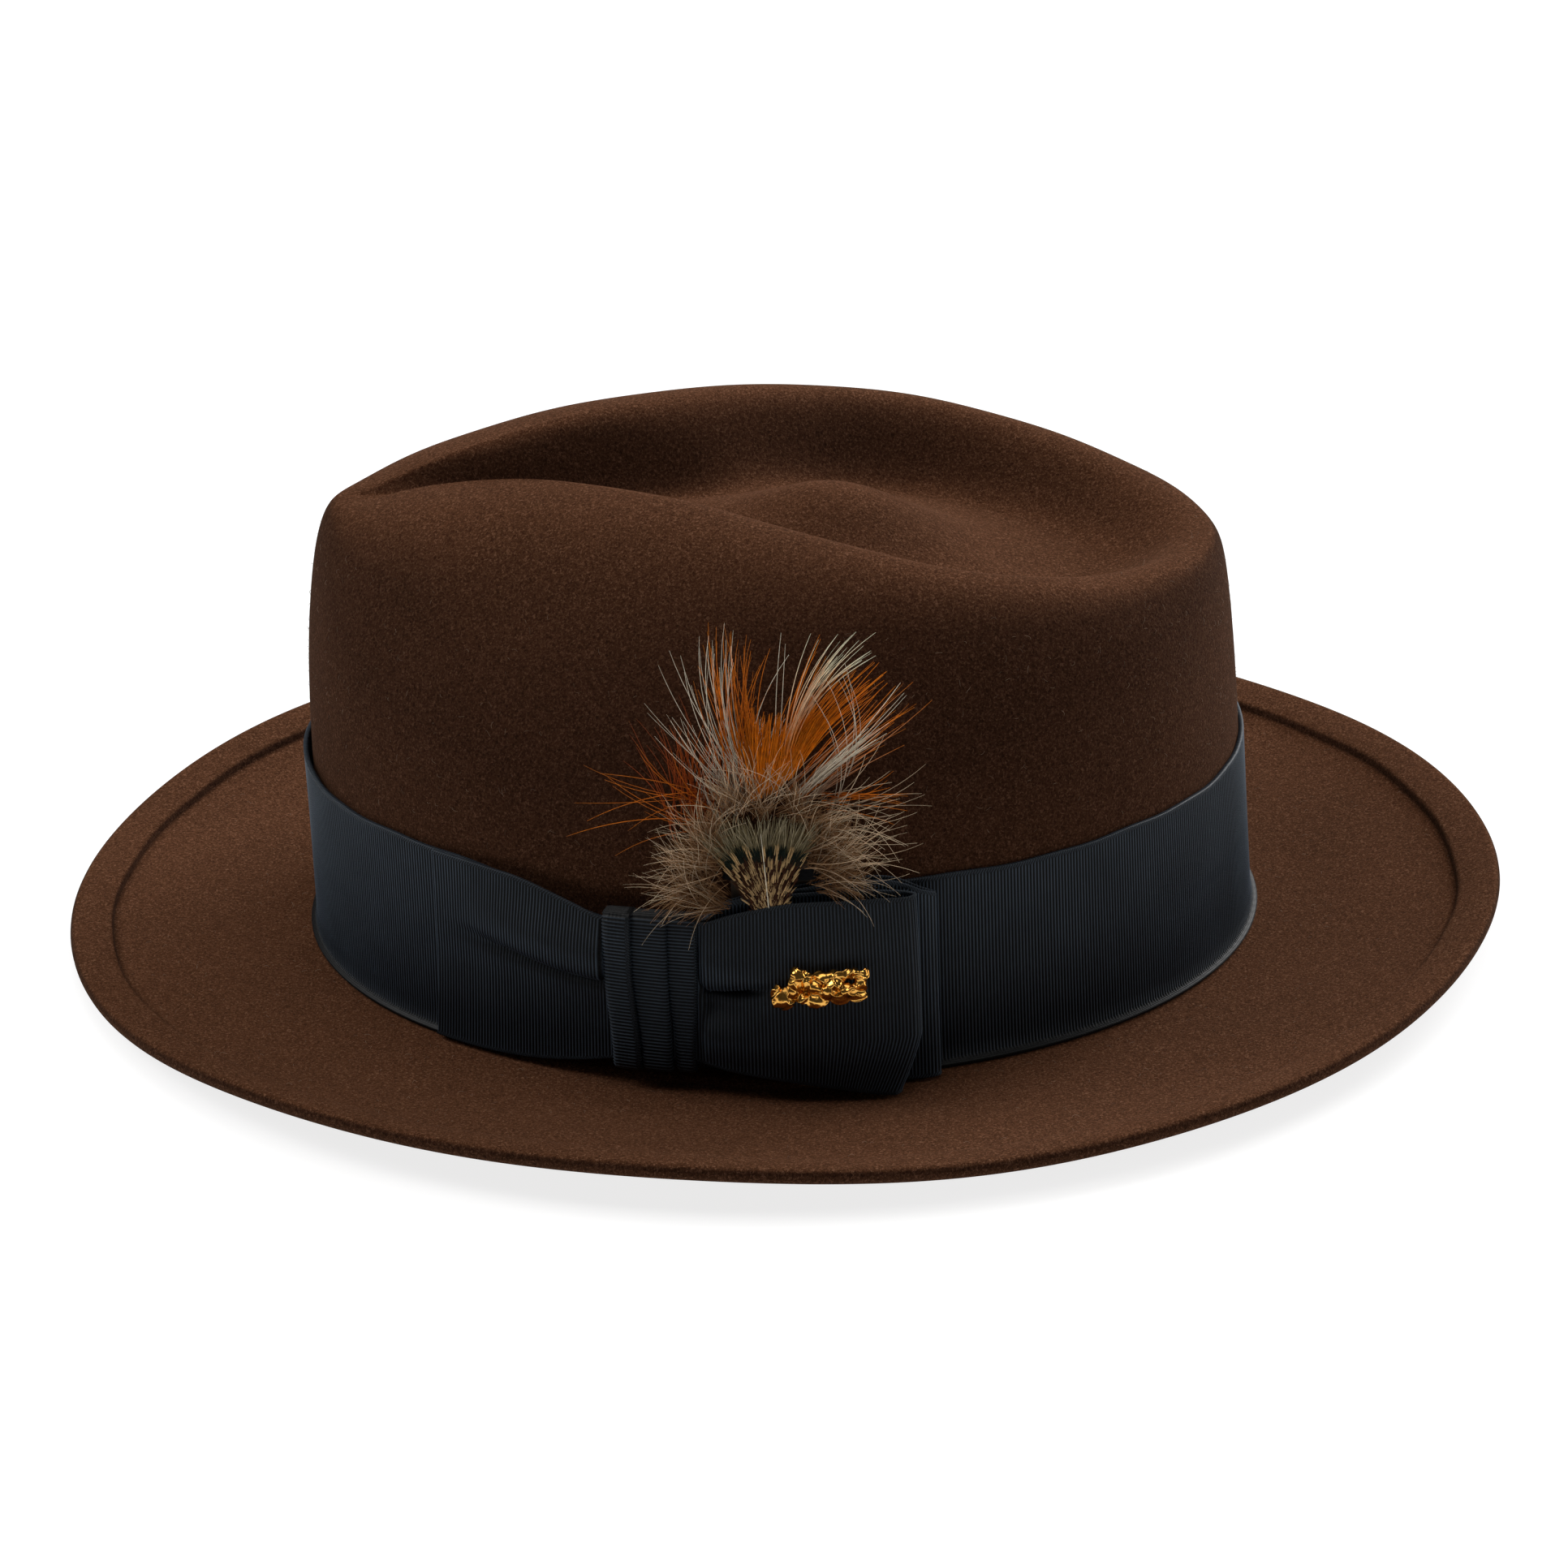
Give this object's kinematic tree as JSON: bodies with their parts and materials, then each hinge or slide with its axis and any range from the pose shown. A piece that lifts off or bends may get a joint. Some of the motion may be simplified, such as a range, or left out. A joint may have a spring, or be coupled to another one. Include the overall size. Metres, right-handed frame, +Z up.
{
  "type": "fedora hat",
  "caption": "Felt fedora with a teardrop crown, curved welted brim, grosgrain band with a side bow, feather mount and nugget pin, leather sweatband and satin lining.",
  "frame": {"origin": "centre of the hat in plan, on the surface it rests on", "axes": "+Z up; -Y is the front of the hat; +X is the wearer's left, where the bow is"},
  "size_m": [0.286, 0.3102, 0.1104],
  "materials": {
    "felt": "short napped fur felt, matt",
    "grosgrain": "ribbed ribbon, dull sheen",
    "sweatband_leather": "smooth roan leather, satin",
    "reed": "moulded, matt",
    "tape": "woven tape, matt",
    "thin_ribbon": "narrow ribbon, dull sheen",
    "satin": "satin weave, glossy",
    "tag_paper": "matt",
    "card": "matt",
    "thread": "waxed thread",
    "orange_feather": "dyed feather barbs",
    "pale_feather": "natural feather barbs",
    "rust_feather": "dyed feather barbs",
    "spotted_feather": "pheasant feather with dark and cream spots",
    "down": "soft down",
    "gold_plate": "polished gold plate",
    "steel_pin": "polished",
    "brass_clutch": "polished",
    "clear_film": "clear, glossy"
  },
  "bodies": {
    "hat": {"felt_body": "felt", "hat_band": "grosgrain", "bow_left_wing": "grosgrain", "bow_knot": "grosgrain", "bow_front_loop": "grosgrain", "bow_back_loop": "grosgrain", "sweatband": "sweatband_leather", "sweatband_reed": "reed", "reed_tape": "tape", "sweatband_bow": "thin_ribbon", "lining_wall": "satin", "lining_tip": "satin", "tip_shield": "clear_film", "size_tag": "tag_paper"},
    "feather_mount": {"feather_card": "card", "quill_binding": "thread", "orange_plume": "orange_feather", "pale_plume": "pale_feather", "rust_plume": "rust_feather", "amber_plume": "orange_feather", "spotted_feather_front": "spotted_feather", "spotted_feather_middle": "spotted_feather", "spotted_feather_rear": "spotted_feather", "fluff_front": "down", "fluff_middle": "down", "fluff_rear": "down"},
    "pin": {"pin_head": "gold_plate", "pin_post": "steel_pin"},
    "clutch": {"pin_clutch": "brass_clutch"}
  },
  "joints": [
    {"name": "feather_pull", "type": "slide", "parent": "hat", "child": "feather_mount", "axis": [0, 0, 1], "range_m": [0, 0.034]},
    {"name": "pin_pull", "type": "slide", "parent": "hat", "child": "pin", "axis": [0.9962, 0.0191, 0.0847], "range_m": [0, 0.007]},
    {"name": "clutch_slide", "type": "slide", "parent": "hat", "child": "clutch", "axis": [-0.9962, -0.0191, -0.0847], "range_m": [0, 0.0016]}
  ]
}
